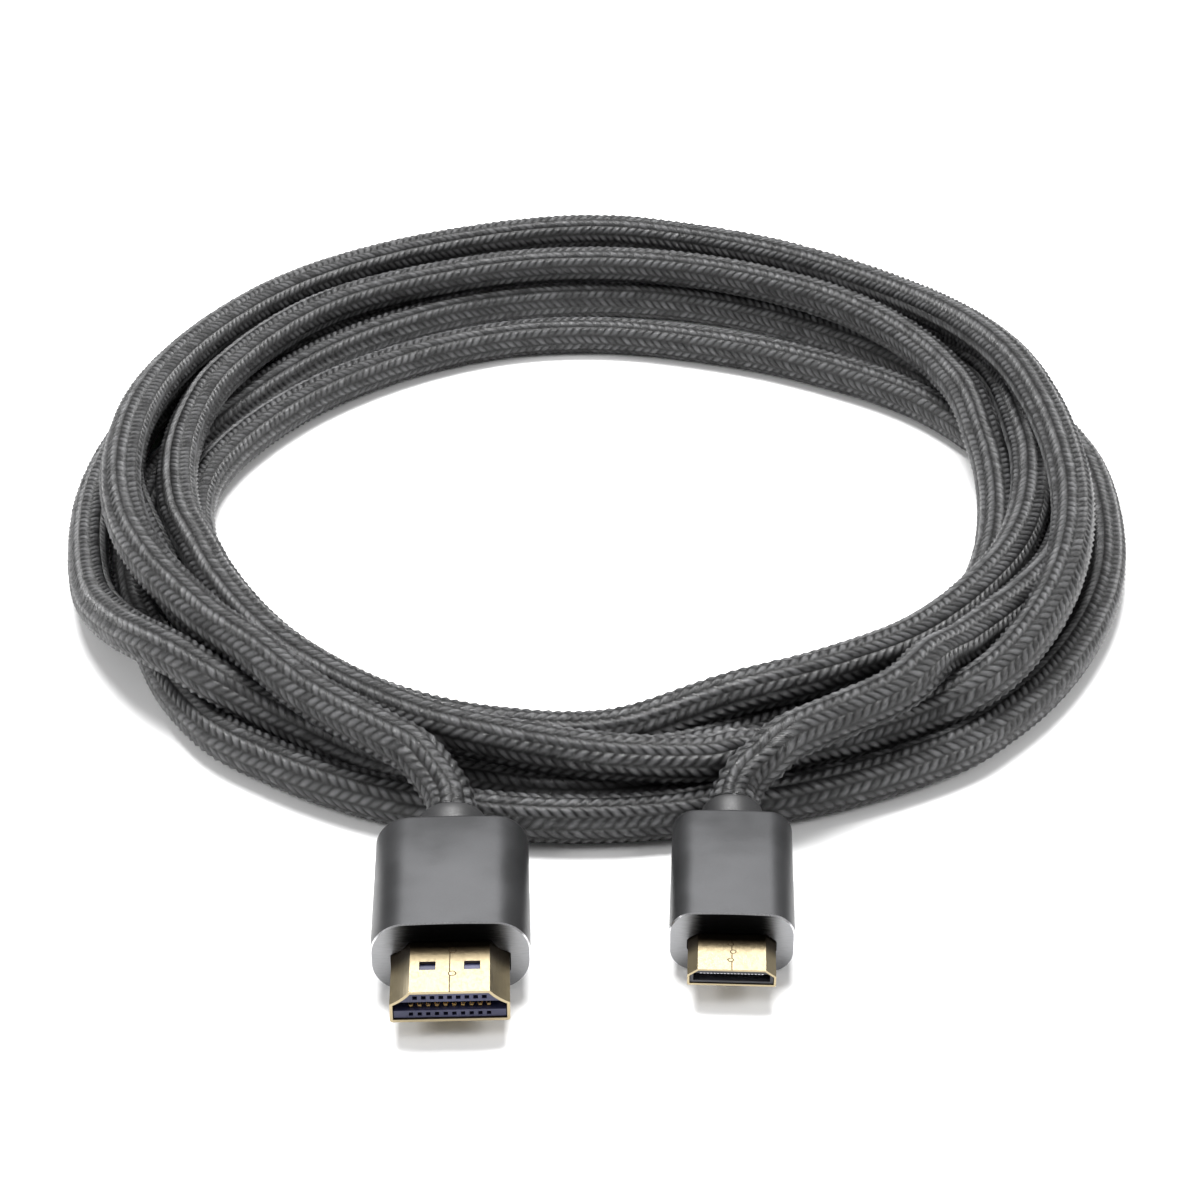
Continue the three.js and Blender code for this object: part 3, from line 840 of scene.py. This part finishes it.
def make_spring(node_name, row):
    """One contact: a strip whose front end is bent up into a low rounded tip."""
    xs, ys, zs = zip(*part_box(node_name))
    to_plug = plug_frame(PLUGS["type_a"]).inverted()
    corners = [to_plug @ Vector((x, y, z)) for x in xs for y in ys for z in zs]
    middle = sum(corner.x for corner in corners) / len(corners)
    level = sum(corner.z for corner in corners) / len(corners)
    front = min(corner.y for corner in corners) + SPRING["clear"]
    back = max(corner.y for corner in corners) - SPRING["clear"]
    side = 1 if row == "lower" else -1
    thick = SPRING["thickness"] / 2
    line = [(front + along, side * (SPRING["rise"] * share - SPRING["seat"])) for along, share in SPRING_BEND]
    line.append((back, side * -SPRING["seat"]))
    bm = bmesh.new()
    rows = []
    for i, (y, rise) in enumerate(line):
        half = SPRING["width"] / 2 * (0.7 if i == 0 else 1.0)
        sides = [(-half, -thick), (half, -thick), (half, thick), (-half, thick)]
        rows.append([(middle + x, y, level + rise + z) for x, z in sides])
    skin(bm, rows, closed_end="last")
    bm.verts.ensure_lookup_table()
    bm.faces.new([bm.verts[i] for i in (3, 2, 1, 0)])
    spring = finished_object(node_name + "_spring", bm, plug_frame(PLUGS["type_a"]), 40, CONTACT_GOLD)
    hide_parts(node_name)


for row, count in CONTACT_ROWS.items():
    for i in range(count):
        make_spring(f"type_a_contact_{row}_{i + 1:02d}", row)
mini_contacts = [node for name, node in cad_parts.items() if name.startswith("mini_contact")]
for contact in mini_contacts:
    contact.material_slots[0].material = CONTACT_SILVER

# Strain reliefs
# A short dome of satin rubber is moulded over the cable behind each housing. The cable's weight bends it,
# so its mouth points upwards, and its back shows over the housing.
RELIEFS = {
    "type_a": {"radius": 4.7, "start": 21.5, "length": 4.4},
    "mini": {"radius": 4.1, "start": 21.1, "length": 4.2},
}
RELIEF_MOUTH = 3.6
RELIEF_SIDES = 48
RELIEF_RINGS = 12


def moulded_rubber():
    """Dark satin rubber with a fine moulded skin."""
    material, tree, shader = new_material("moulded_rubber", Specular_IOR_Level=0.4)
    speckle, cloud = add_fine_grain(tree, 7000.0)
    tone = stepped(tree, cloud, 0.3, 0.7)
    colour = blended(tree, tone, (0.015, 0.015, 0.0155, 1), (0.025, 0.025, 0.026, 1))
    bump = add_node(tree, "Bump", {"Strength": 0.2, "Distance": 0.05 * MM, "Height": speckle})
    tree.links.new(colour, shader.inputs["Base Color"])
    tree.links.new(stepped(tree, speckle, 0.3, 0.7, 0.42, 0.6), shader.inputs["Roughness"])
    tree.links.new(bump.outputs[0], shader.inputs["Normal"])
    return material


MOULDED_RUBBER = moulded_rubber()


def make_relief(name):
    """One relief: rings that narrow, rise and lean back towards its mouth."""
    relief = RELIEFS[name]
    plug = PLUGS[name]
    middle_z = HOUSINGS[name]["height"] / 2
    bm = bmesh.new()
    loops = []
    for share in np.linspace(0, 1, RELIEF_RINGS):
        radius = RELIEF_MOUTH + (relief["radius"] - RELIEF_MOUTH) * math.sqrt(1 - share**2.2)
        rise = (plug["middle"] - middle_z) * share**1.2
        lean = math.atan(plug["climb"]) * share
        ring = []
        for a in np.linspace(0, 2 * math.pi, RELIEF_SIDES, endpoint=False):
            up = radius * math.sin(a)
            back = relief["start"] + relief["length"] * share - up * math.sin(lean)
            ring.append((radius * math.cos(a), back, middle_z + rise + up * math.cos(lean)))
        loops.append(ring)
    skin(bm, loops, closed_end="last")
    bm.verts.ensure_lookup_table()
    bm.faces.new([bm.verts[i] for i in range(RELIEF_SIDES)][::-1])
    piece = finished_object(name + "_relief_dome", bm, plug_frame(PLUGS[name]), 40, MOULDED_RUBBER)
    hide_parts(name + "_strain_relief")
    return piece


relief_domes = {name: make_relief(name) for name in PLUGS}
